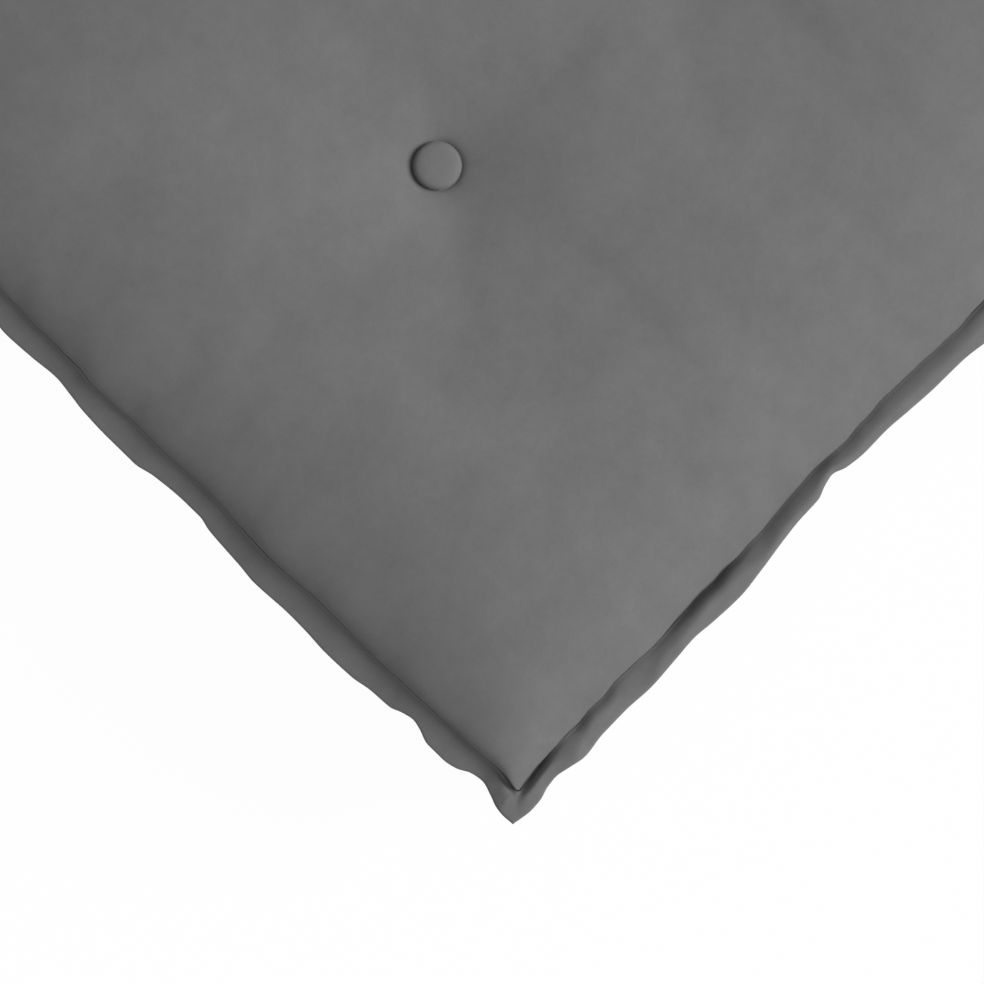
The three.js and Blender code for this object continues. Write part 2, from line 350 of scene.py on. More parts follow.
ROOT_TUCK = 0.6  # how much lower its upper edge lies, as a share of how far in it reaches
SINK_REACH = 1.3  # how soon a sunk root's upper face comes up again
FLANGE_EASE = 0.2  # how softly its upper face starts out of the crease
HANG = 2.0  # a flange that falls by this much more than it rises hangs from its crease
HANG_LIFT = 0.6  # how much of its root's sinking a hanging flange does without, as a share
FALL_POWER = 0.5  # under 1, a hanging flange is steepest at its crease
FALL_LATE = 1.4  # over 1, any other flange falls late past its ridge
FALL_DROP = 0.8  # how far a hanging flange drops at once as it comes out of the seam
FLANGE_RIM = 1.0  # the rounding of its rim
FLANGE_SHARES = (0, 0.03, 0.07, 0.12, 0.18, 0.25, 0.33, 0.42, 0.51, 0.6, 0.69, 0.77, 0.84, 0.9, 0.945,
                 0.975, 0.993)

# ---- the way that a seam wanders, in mm ----
WANDER = 0.3
WANDER_WAVES = (9.0, 50.0)
WANDER_REACH = 7.0  # how far into a panel it is felt
WANDER_FADE = 14.0  # how far from a corner it reaches its full size

# ---- meshes ----
PANEL_STEP = 2.6  # mm between a panel's points, which lie closer together at its seams
EDGE_LINES = (0.0, 0.35, 0.75, 1.2, 1.8, 2.6, 3.7, 5.1, 7.0, 9.4, 12.0)  # mm from a seam
SIDE_ROWS = 18
SEAT_CELLS = 7  # the panel's cells on each side of a button that its round patch stands for
SEAT_RINGS = (4.0, 7.5, 9.3, 9.7, 9.95, 10.2, 10.5, 10.9, 11.4, 12.1, 13.1, 14.4)  # mm from its centre
SEAT_EASE = (0.3, 0.62)  # shares of the way from the last ring to the panel's own cells

# ---- cloth simulation ----
PRESS_STEP = 6.6  # mm between the points of the coarse cover
PRESS_ROWS = 11
PRESS_HOLD = 1.0  # mm round the floor under a button where the cloth is held
PRESSURE = 4.0
GROWTH = 0.005  # how much larger the cloth is cut than the shape that it starts from
PRESS_FRAMES = 20
PRESS_CAP = 7.0  # mm, the most that a point moves
PRESS_SHARE = {"front": 0.3, "back": 0.8, "side": 0.5}  # how much of its move each patch takes


# =========================== small tools ===========================
def smooth_through(rows, key, at):
    """A curve through one column of a table of folds, without overshoot between its rows."""
    x = np.array([r["at"] for r in rows], dtype=float)
    y = np.array([r[key] for r in rows], dtype=float)
    h = np.diff(x)
    d = np.diff(y) / h
    m = np.zeros_like(y)
    for k in range(1, len(y) - 1):
        if d[k - 1] * d[k] > 0:
            w1 = 2 * h[k] + h[k - 1]
            w2 = h[k] + 2 * h[k - 1]
            m[k] = (w1 + w2) / (w1 / d[k - 1] + w2 / d[k])
    at = np.clip(at, x[0], x[-1])
    k = np.clip(np.searchsorted(x, at) - 1, 0, len(h) - 1)
    t = (at - x[k]) / h[k]
    h00 = 2 * t**3 - 3 * t**2 + 1
    h10 = t**3 - 2 * t**2 + t
    h01 = -2 * t**3 + 3 * t**2
    h11 = t**3 - t**2
    return h00 * y[k] + h10 * h[k] * m[k] + h01 * y[k + 1] + h11 * h[k] * m[k + 1]


def ripple(along, seed, waves, count=7):
    """Smooth uneven noise along a line, roughly between -1 and 1."""
    rng = random.Random(seed)
    total = np.zeros_like(np.asarray(along, dtype=float))
    for _ in range(count):
        wave = rng.uniform(*waves)
        total = total + np.sin(2 * math.pi * (along / wave + rng.random()))
    return total / math.sqrt(count)


# =========================== the four sides' tables ===========================
SIDES = ("long_near", "short_far", "long_far", "short_near")


def is_long(side):
    return side.startswith("long")


def sign_of(side):
    """-1 for a side at its axis's negative end, 1 for one at its positive end."""
    return -1 if side.endswith("near") else 1


def side_of(way_x, way_y):
    """Which side a direction out of the cushion belongs to."""
    if abs(way_y) > abs(way_x):
        return "long_near" if way_y < 0 else "long_far"
    return "short_near" if way_x < 0 else "short_far"


def side_length(side):
    return 2 * (TIP_X if is_long(side) else TIP_Y)


def along_side(side, x, y):
    """Distance along a side from its corner's tip at negative x or y."""
    return (x if is_long(side) else y) + side_length(side) / 2


def inward_of(side, x, y):
    """Distance inward from a side's plain seam line."""
    return (SEAM_HALF_Y - sign_of(side) * y) if is_long(side) else (SEAM_HALF_X - sign_of(side) * x)


def placed_and_more(rows, length, gap, make, rng):
    """A table's rows, carried on unevenly as far as the side's other end."""
    rows = [dict(r) for r in rows]
    at = rows[-1]["at"] if rows else 0.0
    while True:
        at += rng.uniform(*gap)
        if at > length - END_GAP:
            return rows
        rows.append({"at": at, **make(rng, len(rows))})


def all_sides(placed, gap, make, seed):
    """A table for each side: what is listed, and an uneven rest between steady corners."""
    rng = random.Random(seed)
    tables = {}
    for side in SIDES:
        start = placed.get(side, [{"at": 0, **CORNER}])
        rows = placed_and_more(start, side_length(side), gap, make, rng)
        tables[side] = rows + [{"at": side_length(side), **CORNER}]
    return tables


def one_sway(rng, _):
    """A place of a seam that isn't listed."""
    return {"inset": rng.uniform(-1, 1) * SEAM_SWAY, "gape": rng.uniform(0.1, 0.9)}


def one_fold(rng, index):
    """A fold of a rim, in and out by turns."""
    sign = 1 if index % 2 else -1
    return {"out": sign * rng.uniform(0.3, 1.0) * FOLD_OUT - (FOLD_IN if sign < 0 else 0.0)}


def one_form(rng, _):
    """How a flange stands where that isn't listed."""
    return {"rise": rng.uniform(0.8, 3.0), "ridge": rng.uniform(0.35, 0.8), "fall": rng.uniform(-0.4, 2.4)}


def one_pleat(rng, _):
    """A pleat that isn't listed."""
    return {"depth": rng.uniform(0.4, 1.1), "width": rng.uniform(4, 7), "reach": rng.uniform(3, 8),
            "lean": rng.uniform(-0.5, 0.5)}


def pleats_of(placed, seed):
    """Each side's pleats: those listed, and an uneven rest."""
    rng = random.Random(seed)
    return {side: placed_and_more(placed.get(side, []), side_length(side), PLEAT_GAP, one_pleat, rng)
            for side in SIDES}


FRONT = {
    "z": FRONT_SEAM_Z,
    "sink": 3.2,  # how far the flange's root sinks where the crease gapes
    "seam": all_sides({"short_near": SHORT_SEAM, "long_near": LONG_SEAM}, SEAM_GAP, one_sway, 21),
    "rim": all_sides({"short_near": SHORT_RIM, "long_near": LONG_RIM}, FOLD_GAP, one_fold, 5),
    "form": all_sides({"short_near": SHORT_FORM, "long_near": LONG_FORM}, SEAM_GAP, one_form, 22),
    "pleats": pleats_of({"short_near": SHORT_PLEATS, "long_near": LONG_PLEATS}, 31),
    "wander": 50,
}
BACK = {
    "z": BACK_SEAM_Z,
    "sink": 0.0,
    "seam": all_sides({}, SEAM_GAP, one_sway, 23),
    "rim": all_sides({}, FOLD_GAP, one_fold, 9),
    "form": all_sides({}, SEAM_GAP, one_form, 24),
    "pleats": pleats_of({}, 32),
    "wander": 60,
}


def seam_shift(panel, x, y):
    """How far the cloth at (x, y) follows its seams as they stray from their straight lines."""
    shift = {"x": np.zeros_like(x), "y": np.zeros_like(y)}
    for number, side in enumerate(SIDES):
        along, half_along = (x, SEAM_HALF_X) if is_long(side) else (y, SEAM_HALF_Y)
        inward = inward_of(side, x, y)
        inset = smooth_through(panel["seam"][side], "inset", along_side(side, x, y))
        stray = -inset * np.exp(-inward / SEAM_REACH)
        fade = np.clip((half_along - np.abs(along)) / WANDER_FADE, 0, 1)
        waves = ripple(along, panel["wander"] + number, WANDER_WAVES)
        stray = stray + WANDER * fade * waves * np.exp(-inward / WANDER_REACH)
        shift["y" if is_long(side) else "x"] += sign_of(side) * stray
    return shift["x"], shift["y"]


def gape_depth(panel, side, x, y):
    """Depth of the channel under a side's seam."""
    gape = smooth_through(panel["seam"][side], "gape", along_side(side, x, y))
    return CHANNEL_DEPTH + CHANNEL_GAPE * gape


def taper(points):
    """Points of the cushion drawn in towards its smaller back."""
    share = BACK_INSET * np.clip((FRONT_SEAM_Z - points[..., 2]) / (FRONT_SEAM_Z - BACK_SEAM_Z), 0, 1)
    points = points.copy()
    points[..., 0] *= 1 - share / SEAM_HALF_X
    points[..., 1] *= 1 - share / SEAM_HALF_Y
    return points


# =========================== the body ===========================
def even_lines(half, stops, step):
    """Even grid lines from -half to half that pass through every stop."""
    knots = [-half, *stops, half]
    lines = [-half]
    for low, high in zip(knots, knots[1:]):
        count = max(1, round((high - low) / step))
        lines += list(np.linspace(low, high, count + 1)[1:])
    return np.array(lines)


def panel_lines(half, stops):
    """Grid lines from -half to half through every stop: close together at both ends."""
    *ends, last = EDGE_LINES
    lines = even_lines(half - last, stops, PANEL_STEP)
    return np.array([e - half for e in ends] + list(lines) + [half - e for e in ends[::-1]])


def hip(a, b):
    """Two flanks' shares of the crest, joined softly where they meet."""
    a = np.clip(a, 1e-6, 1)
    b = np.clip(b, 1e-6, 1)
    return (a**-HIP_POWER + b**-HIP_POWER - 1) ** (-1 / HIP_POWER)


def crown(x, y, short, long):
    """Height of a panel over its seams."""
    def flank(inward, row):
        """How much of the crest's height a flank has reached."""
        eased = inward - row["ease"] * (1 - np.exp(-inward / row["ease"]))
        steep = row["lip"] * (1 - np.exp(-eased / row["reach"]))
        left = 1 - np.minimum(eased / row["span"], 1)
        return (steep + (CREST - row["lip"]) * (1 - left * left)) / CREST

    return CREST * hip(flank(SEAM_HALF_X - np.abs(x), short), flank(SEAM_HALF_Y - np.abs(y), long))


def drawn_in(x, y):
    """Where y goes as the long sides pull in between their corners."""
    u = x / SEAM_HALF_X
    return y / SEAM_HALF_Y * (SEAM_HALF_Y - DRAW_IN * (1 - u * u))


def plan(x, y):
    """Where a point of the flat rectangle goes when the sides are drawn in and corners rounded."""
    r = CORNER_RADIUS
    cx = np.clip((np.abs(x) - (SEAM_HALF_X - r)) / r, 0, 1)
    cy = np.clip((np.abs(y) - (SEAM_HALF_Y - r)) / r, 0, 1)
    px = x - np.sign(x) * r * cx * (1 - np.sqrt(1 - cy * cy / 2))
    py = drawn_in(x, y) - np.sign(y) * r * cy * (1 - np.sqrt(1 - cx * cx / 2))
    return px, py


def dimples(x, y, depth, reach):
    """Depth of the dimples that the buttons pull."""
    total = np.zeros_like(x)
    for centre in BUTTONS:
        away = np.maximum(np.hypot(x - centre, y - BUTTON_ROW) - TUFT_FLOOR, 0)
        total = np.maximum(total, depth * np.exp(-away / reach))
    return total


def trough(x, y, row):
    """Depth of one soft trough at (x, y): it fades in from its start and out to its end."""
    run_x, run_y = row["to_x"] - row["x"], row["to_y"] - row["y"]
    length = math.hypot(run_x, run_y)
    along = ((x - row["x"]) * run_x + (y - row["y"]) * run_y) / length**2
    across = ((y - row["y"]) * run_x - (x - row["x"]) * run_y) / length
    t = np.clip(along, 0, 1) ** (math.log(0.5) / math.log(row["deep"]))
    return row["depth"] * np.sin(np.pi * t) * np.exp(-((across / row["spread"]) ** 2))


def pleat_depth(x, y, pleats):
    """Depth of all pleats at (x, y)."""
    total = np.zeros_like(x)
    for side, rows in pleats.items():
        inward = inward_of(side, x, y)
        along = along_side(side, x, y)
        for row in rows:
            t = np.clip(inward / row["reach"], 0, 12)
            off = (along - row["at"] - row["lean"] * inward) / row["width"]
            off = np.where(off > 0, off / PLEAT_RISE, off)
            total += row["depth"] * t * np.exp(1 - t) * np.exp(-off * off)
    return total


def front_z(x, y, fine=True):
    along = along_side("short_near", x, y)
    lip = {key: smooth_through(SHORT_LIP, key, along) for key in ("lip", "reach")}
    z = FRONT_SEAM_Z + CHANNEL_HALF + crown(x, y, {**SHORT_FLANK, **lip}, LONG_FLANK)
    z = z - dimples(x, y, TUFT_DEPTH, TUFT_REACH)
    if fine:
        z = z - dimples(x, y, PINCH_DEPTH, PINCH_REACH) - pleat_depth(x, y, FRONT["pleats"])
        for row in TROUGHS:
            z = z - trough(x, y, row)
    return z


def back_z(x, y, fine=True):
    z = BACK_SEAM_Z - CHANNEL_HALF - crown(x, y, BACK_FLANK, BACK_FLANK)
    if fine:
        z = z + pleat_depth(x, y, BACK["pleats"])
    z = BACK_ROUNDING * np.logaddexp(0, z / BACK_ROUNDING)
    z = np.where(z < BACK_FLAT, 0.0, z - BACK_FLAT * np.exp(BACK_FLAT - z))
    return z + np.maximum(dimples(x, y, BACK_TUFT_DEPTH, TUFT_REACH) - BACK_TUFT_FLAT, 0)


def panel_points(x, y, panel, height, fine=True):
    """A panel's points. Its last mm curls in to the channel that the flange comes out of."""
    px, py = plan(x, y)
    shift_x, shift_y = seam_shift(panel, x, y)
    for side in SIDES:
        inward = inward_of(side, x, y)
        curl = gape_depth(panel, side, x, y) * np.exp(-((inward / CHANNEL_CURL) ** 2))
        if is_long(side):
            py = py - sign_of(side) * curl
        else:
            px = px - sign_of(side) * curl
    return np.stack([px + shift_x, py + shift_y, height(x, y, fine)], axis=-1)


def ring(xs, ys):
    """Grid places once round the rectangle, anticlockwise from -x, -y."""
    lower = [(x, ys[0]) for x in xs]
    right = [(xs[-1], y) for y in ys[1:]]
    upper = [(x, ys[-1]) for x in xs[-2::-1]]
    left = [(xs[0], y) for y in ys[-2:0:-1]]
    return np.array(lower + right + upper + left)


def outward(places):
    """Unit directions out of the body at places round the rectangle."""
    x, y = places[:, 0], places[:, 1]
    r = CORNER_RADIUS
    nx = np.clip((np.abs(x) - (SEAM_HALF_X - r)) / r, 0, 1) * np.sign(x)
    ny = np.clip((np.abs(y) - (SEAM_HALF_Y - r)) / r, 0, 1) * np.sign(y)
    n = np.stack([nx, ny], axis=-1)
    return n / np.linalg.norm(n, axis=-1, keepdims=True)


def side_points(xs, ys, count):
    """The boxed side's patch: rows of points from over the back seam to under the front one."""
    places = ring(xs, ys)
    x, y = places[:, 0], places[:, 1]
    n = outward(places)
    sides = [side_of(a, b) for a, b in n]
    px, py = plan(x, y)
    edges = []
    for panel in (BACK, FRONT):
        shift_x, shift_y = seam_shift(panel, x, y)
        depth = np.array([gape_depth(panel, s, x[i], y[i]) for i, s in enumerate(sides)])
        edges.append((px + shift_x, py + shift_y, depth))
    rows = []
    for k in range(count + 1):
        t = 0.5 - 0.5 * math.cos(math.pi * k / count)
        z = BACK_SEAM_Z + CHANNEL_HALF + t * (FRONT_SEAM_Z - BACK_SEAM_Z - 2 * CHANNEL_HALF)
        ex, ey, depth = (a + (b - a) * t for a, b in zip(*edges))
        swell = math.sin(math.pi * t) ** 0.5
        out = SIDE_BULGE * swell - depth * (1 - swell)
        rows.append(np.stack([ex + out * n[:, 0], ey + out * n[:, 1], np.full(len(ex), z)], axis=-1))
    return np.array(rows)


def body_patches(xs, ys, side_rows, fine=True):
    x, y = np.meshgrid(xs, ys)
    return {
        "front": panel_points(x, y, FRONT, front_z, fine),
        "back": panel_points(x, y, BACK, back_z, fine),
        "side": side_points(xs, ys, side_rows),
    }


def seat_windows(xs, ys):
    """The panel's cells that a round patch stands for at each button."""
    row = int(np.argmin(np.abs(ys - BUTTON_ROW)))
    columns = [int(np.argmin(np.abs(xs - centre))) for centre in BUTTONS]
    return [(row - SEAT_CELLS, row + SEAT_CELLS, c - SEAT_CELLS, c + SEAT_CELLS) for c in columns]


def seat_places(xs, ys, window, centre):
    """Flat places of a round patch: rings round a button, widening to its window's outline."""
    low, high, left, right = window
    edge = ring(xs[left:right + 1], ys[low:high + 1]) - (centre, BUTTON_ROW)
    away = np.linalg.norm(edge, axis=-1, keepdims=True)
    circles = [edge / away * r for r in SEAT_RINGS]
    last = circles[-1]
    rings = circles + [last + (edge - last) * share for share in SEAT_EASE]
    return np.array(rings) + (centre, BUTTON_ROW)


def body_mesh(patches, windows=(), seats=()):
    """Vertices and faces of the closed body. A seat is a round patch that fills a window."""
    ny, nx = patches["front"].shape[:2]
    front = np.arange(nx * ny).reshape(ny, nx)
    back = front + nx * ny
    rows, count = patches["side"].shape[:2]
    side = np.arange(rows * count).reshape(rows, count) + 2 * nx * ny
    vertices = np.concatenate([patches[k].reshape(-1, 3) for k in ("front", "back", "side")])

    def quads(a, b, c, d):
        return np.stack([a.ravel(), b.ravel(), c.ravel(), d.ravel()], axis=-1)

    def edge(ids):
        return np.concatenate([ids[0, :], ids[1:, -1], ids[-1, -2::-1], ids[-2:0:-1, 0]])

    whole = np.ones((ny - 1, nx - 1), dtype=bool)
    for low, high, left, right in windows:
        whole[low:high, left:right] = False
    cells = quads(front[:-1, :-1], front[:-1, 1:], front[1:, 1:], front[1:, :-1])
    faces = cells[whole.ravel()].tolist()
    faces += quads(back[:-1, :-1], back[1:, :-1], back[1:, 1:], back[:-1, 1:]).tolist()
    rings = np.vstack([edge(back), side, edge(front)])
    turned = np.roll(rings, -1, axis=1)
    faces += quads(rings[:-1], turned[:-1], turned[1:], rings[1:]).tolist()
    for (low, high, left, right), seat in zip(windows, seats):
        start = len(vertices)
        ids = np.arange(seat.shape[0] * seat.shape[1]).reshape(seat.shape[:2]) + start
        vertices = np.concatenate([vertices, seat.reshape(-1, 3), seat[0].mean(axis=0)[None]])
        rings = np.vstack([ids, edge(front[low:high + 1, left:right + 1])])
        turned = np.roll(rings, -1, axis=1)
        faces += quads(rings[:-1], rings[1:], turned[1:], turned[:-1]).tolist()
        middle = len(vertices) - 1
        faces += [(middle, int(a), int(b)) for a, b in zip(ids[0], np.roll(ids[0], -1))]
    used = np.zeros(len(vertices), dtype=bool)
    used[[i for face in faces for i in face]] = True
    place = np.cumsum(used) - 1
    return vertices[used], [[int(place[i]) for i in face] for face in faces]


def make_mesh(name, vertices, faces, material):
    mesh = bpy.data.meshes.new(name)
    mesh.from_pydata((np.asarray(vertices) * MM).tolist(), [], faces)
    mesh.validate()
    mesh.polygons.foreach_set("use_smooth", [True] * len(mesh.polygons))
    if material:
        mesh.materials.append(material)
    piece = bpy.data.objects.new(name, mesh)
    bpy.context.scene.collection.objects.link(piece)
    return piece


# =========================== cloth simulation ===========================
def press(patches, xs, ys):
    """How each point of the coarse cover moves when the filling presses it out, in mm."""
    vertices, faces = body_mesh(patches)
    piece = make_mesh("pressed_cover", vertices, faces, None)
    nx, ny = len(xs), len(ys)
    gx, gy = np.meshgrid(xs, ys)
    edge = np.zeros((ny, nx), dtype=bool)
    edge[[0, -1], :] = True
    edge[:, [0, -1]] = True
    floors = np.zeros_like(edge)
    for centre in BUTTONS:
        floors |= np.hypot(gx - centre, gy - BUTTON_ROW) < TUFT_FLOOR + PRESS_HOLD
    held = (edge | floors).ravel()
    rows, count = patches["side"].shape[:2]
    side = np.zeros((rows, count), dtype=bool)
    side[[0, -1], :] = True
    pinned = np.concatenate([held, held, side.ravel()])
    group = piece.vertex_groups.new(name="pinned")
    group.add(np.nonzero(pinned)[0].tolist(), 1.0, "REPLACE")

    cloth = piece.modifiers.new("press", "CLOTH")
    s = cloth.settings
    s.quality = 6
    s.mass = 0.3
    s.tension_stiffness = 20
    s.compression_stiffness = 15
    s.shear_stiffness = 8
    s.bending_stiffness = 0.6
    s.use_pressure = True
    s.uniform_pressure_force = PRESSURE
    s.shrink_min = -GROWTH
    s.vertex_group_mass = "pinned"
    s.effector_weights.gravity = 0.0
    cloth.collision_settings.use_collision = False
    scene = bpy.context.scene
    for k in range(1, PRESS_FRAMES + 1):
        scene.frame_set(k)
    blown = piece.evaluated_get(bpy.context.evaluated_depsgraph_get())
    moved = np.empty(len(vertices) * 3)
    blown.data.vertices.foreach_get("co", moved)
    moved = moved.reshape(-1, 3) / MM - vertices
    scene.frame_set(1)
    mesh = piece.data
    bpy.data.objects.remove(piece)
    bpy.data.meshes.remove(mesh)
    size = np.linalg.norm(moved, axis=-1, keepdims=True)
    moved *= PRESS_CAP * np.tanh(size / PRESS_CAP) / np.maximum(size, 1e-9)
    panel = nx * ny
    return {"front": moved[:panel].reshape(ny, nx, 3),
            "back": moved[panel:2 * panel].reshape(ny, nx, 3),
            "side": moved[2 * panel:].reshape(rows, count, 3)}


def spline_weights(place, count, closed=False):
    """Cubic B-spline weights of count knots at fractional places along them."""
    base = np.floor(place).astype(int)
    if not closed:
        base = np.clip(base, 0, count - 2)
    t = place - base
    parts = ((1 - t) ** 3, 3 * t**3 - 6 * t**2 + 4, -3 * t**3 + 3 * t**2 + 3 * t + 1, t**3)
    weights = np.zeros((len(place), count))
    at = np.arange(len(place))
    for k, part in enumerate(parts):
        knot = base + k - 1
        sign = np.ones(len(place))
        if closed:
            knot = knot % count
        else:
            low, high = knot < 0, knot > count - 1
            sign[low | high] = -1.0
            knot = np.where(low, -knot, np.where(high, 2 * (count - 1) - knot, knot))
        np.add.at(weights, (at, knot), sign * part / 6)
    return weights


def line_weights(at, lines):
    """Spline weights of a coarse cover's grid lines at places along them."""
    return spline_weights(np.interp(at, lines, np.arange(len(lines))), len(lines))


def ring_places(xs, ys, coarse_xs, coarse_ys):
    """Fractional places of the fine ring's points among the coarse ring's."""
    fx = np.interp(xs, coarse_xs, np.arange(len(coarse_xs)))
    fy = np.interp(ys, coarse_ys, np.arange(len(coarse_ys)))
    long_run, short_run = len(coarse_xs) - 1, len(coarse_ys) - 1
    lower = fx
    right = long_run + fy[1:]
    upper = long_run + short_run + (long_run - fx[-2::-1])
    left = 2 * long_run + short_run + (short_run - fy[-2:0:-1])
    return np.concatenate([lower, right, upper, left])


def spread(moves, xs, ys, coarse_xs, coarse_ys):
    """The coarse cover's moves at every point of the fine patches."""
    wx, wy = line_weights(xs, coarse_xs), line_weights(ys, coarse_ys)
    out = {name: np.einsum("ij,jkc,lk->ilc", wy, moves[name], wx) for name in ("front", "back")}
    rows = spline_weights(np.arange(SIDE_ROWS + 1) * PRESS_ROWS / SIDE_ROWS, PRESS_ROWS + 1)
    columns = spline_weights(ring_places(xs, ys, coarse_xs, coarse_ys), moves["side"].shape[1], True)
    out["side"] = np.einsum("ij,jkc,lk->ilc", rows, moves["side"], columns)
    return out


def spread_at(moves, places, coarse_xs, coarse_ys):
    """The coarse front panel's moves at scattered places."""
    flat = places.reshape(-1, 2)
    wx, wy = line_weights(flat[:, 0], coarse_xs), line_weights(flat[:, 1], coarse_ys)
    return np.einsum("nj,jkc,nk->nc", wy, moves, wx).reshape(*places.shape[:-1], 3)


def cushion_cover(material):
    xs = panel_lines(SEAM_HALF_X, BUTTONS)
    ys = panel_lines(SEAM_HALF_Y, (BUTTON_ROW,))
    patches = body_patches(xs, ys, SIDE_ROWS)
    windows = seat_windows(xs, ys)
    flat = [seat_places(xs, ys, w, c) for w, c in zip(windows, BUTTONS)]
    seats = [panel_points(f[..., 0], f[..., 1], FRONT, front_z) for f in flat]
    coarse_xs = even_lines(SEAM_HALF_X, BUTTONS, PRESS_STEP)
    coarse_ys = even_lines(SEAM_HALF_Y, (BUTTON_ROW,), PRESS_STEP)
    coarse = body_patches(coarse_xs, coarse_ys, PRESS_ROWS, fine=False)
    moves = press(coarse, coarse_xs, coarse_ys)
    moves = {name: PRESS_SHARE[name] * move for name, move in moves.items()}
    seats = [s + spread_at(moves["front"], f, coarse_xs, coarse_ys) for s, f in zip(seats, flat)]
    for name, move in spread(moves, xs, ys, coarse_xs, coarse_ys).items():
        patches[name] = patches[name] + move
    patches["back"][..., 2] = np.maximum(patches["back"][..., 2], 0.0)
    vertices, faces = body_mesh(patches, windows, seats)
    return make_mesh("cushion_cover", taper(vertices), faces, material)


# =========================== flanges ===========================
def flange_places():
    """Places once round a flange: seam points, rim points, and the side that each belongs to."""
    seam, rim, sides = [], [], []
    r = CORNER_RADIUS
    inner_x, inner_y = SEAM_HALF_X - r, SEAM_HALF_Y - r
    corners = [(-1, -1), (1, -1), (1, 1), (-1, 1)]
    for k, (sx, sy) in enumerate(corners):
        first = math.pi + k * math.pi / 2
        ways = [(math.cos(first), math.sin(first)), (-math.sin(first), math.cos(first))]
        for f in range(FAN + 1):
            angle = first + f / FAN * math.pi / 2
            seam.append((sx * inner_x + r * math.cos(angle), sy * inner_y + r * math.sin(angle)))
            back = abs(1 - 2 * f / FAN) * TIP_SPAN
            along = ways[1] if f < FAN / 2 else ways[0]
            rim.append((sx * TIP_X - back * along[0], sy * TIP_Y - back * along[1]))
            sides.append(side_of(*(ways[0] if f < FAN / 2 else ways[1])))
        way = ways[1]
        going = (-way[1], way[0])
        long_way = sy == corners[(k + 1) % 4][1]
        run = 2 * (inner_x if long_way else inner_y)
        rim_run = 2 * ((TIP_X if long_way else TIP_Y) - TIP_SPAN)
        start = (sx * TIP_X + going[0] * TIP_SPAN, sy * TIP_Y + going[1] * TIP_SPAN)
        count = round(run / STATION)
        for i in range(1, count):
            t = i / count
            seam.append((sx * inner_x + r * way[0] + going[0] * run * t,
                         sy * inner_y + r * way[1] + going[1] * run * t))
            rim.append((start[0] + going[0] * rim_run * t, start[1] + going[1] * rim_run * t))
            sides.append(side_of(*way))
    return np.array(seam), np.array(rim), sides


def flange_stations(panel):
    """Sections round a flange: seam point, rim point, and how it stands there."""
    seam, rim, sides = flange_places()
    sides = np.array(sides)
    shift = np.stack(seam_shift(panel, seam[:, 0], seam[:, 1]), axis=-1)
    form = {key: np.zeros(len(seam)) for key in ("rise", "ridge", "fall", "gape")}
    out = np.zeros(len(seam))
    for side in SIDES:
        here = sides == side
        at = along_side(side, rim[here, 0], rim[here, 1])
        out[here] = smooth_through(panel["rim"][side], "out", at)
        for key in ("rise", "ridge", "fall"):
            form[key][here] = smooth_through(panel["form"][side], key, at)
        form["gape"][here] = smooth_through(panel["seam"][side], "gape", at)
        rim[here, 1 if is_long(side) else 0] += sign_of(side) * out[here]
    seam = np.stack([seam[:, 0], drawn_in(seam[:, 0], seam[:, 1])], axis=-1) + shift
    return seam, rim, form


def flange_mesh(name, panel, material):
    seam, rim, form = flange_stations(panel)
    across = rim - seam
    reach = np.linalg.norm(across, axis=-1)
    way = across / reach[:, None]
    hang = np.clip((form["fall"] - form["rise"]) / HANG, 0, 1)
    drop = FALL_DROP * hang
    sink = panel["sink"] * form["gape"] * (1 - HANG_LIFT * hang)

    def row(share, face):
        """One row of points on the upper (1) or lower (-1) face."""
        eased = share - FLANGE_EASE / reach * (1 - np.exp(-share * reach / FLANGE_EASE))
        t = np.minimum(eased / form["ridge"], 1)
        climb = (4 * t - t**4) / 3
        sunk = sink * np.exp(-((share * reach / SINK_REACH) ** 2))
        past = np.clip((share - form["ridge"]) / np.maximum(1 - form["ridge"], 0.1), 0, 1)
        fall = form["fall"] * (hang * share**FALL_POWER + (1 - hang) * past**FALL_LATE)
        top = panel["z"] + FLANGE_ROOT - drop + form["rise"] * climb - fall - sunk
        half = FLANGE_ROOT - drop / 2 + FLANGE_FULL * math.sin(math.pi * share)
        left = np.clip((share * reach - (reach - FLANGE_RIM)) / FLANGE_RIM, 0, 1)
        z = top - half + face * half * np.sqrt(np.maximum(1 - left**2, 0))
        return np.column_stack([seam + way * (share * reach)[:, None], z])

    def root(face):
        depth = ROOT_REACH * (CHANNEL_DEPTH + CHANNEL_GAPE * form["gape"])
        tuck = ROOT_TUCK * (1 - hang) * depth if face > 0 else 0.0
        z = panel["z"] + face * FLANGE_ROOT - sink - tuck
        return np.column_stack([seam - way * depth[:, None], z])

    rows = [root(1)] + [row(s, 1) for s in FLANGE_SHARES]
    rows += [row(1.0, 1)]
    rows += [row(s, -1) for s in FLANGE_SHARES[::-1]] + [root(-1)]
    wide, count = len(rows), len(seam)
    ids = np.arange(wide * count).reshape(wide, count)
    below = np.roll(ids, -1, axis=0)
    faces = np.stack([ids.ravel(), below.ravel(), np.roll(below, -1, axis=1).ravel(),
                      np.roll(ids, -1, axis=1).ravel()], axis=-1).tolist()
    piece = make_mesh(name, taper(np.concatenate(rows)), faces, material)
    for polygon in piece.data.polygons[-count:]:  # the raw edge inside the channel
        polygon.use_smooth = False
    return piece


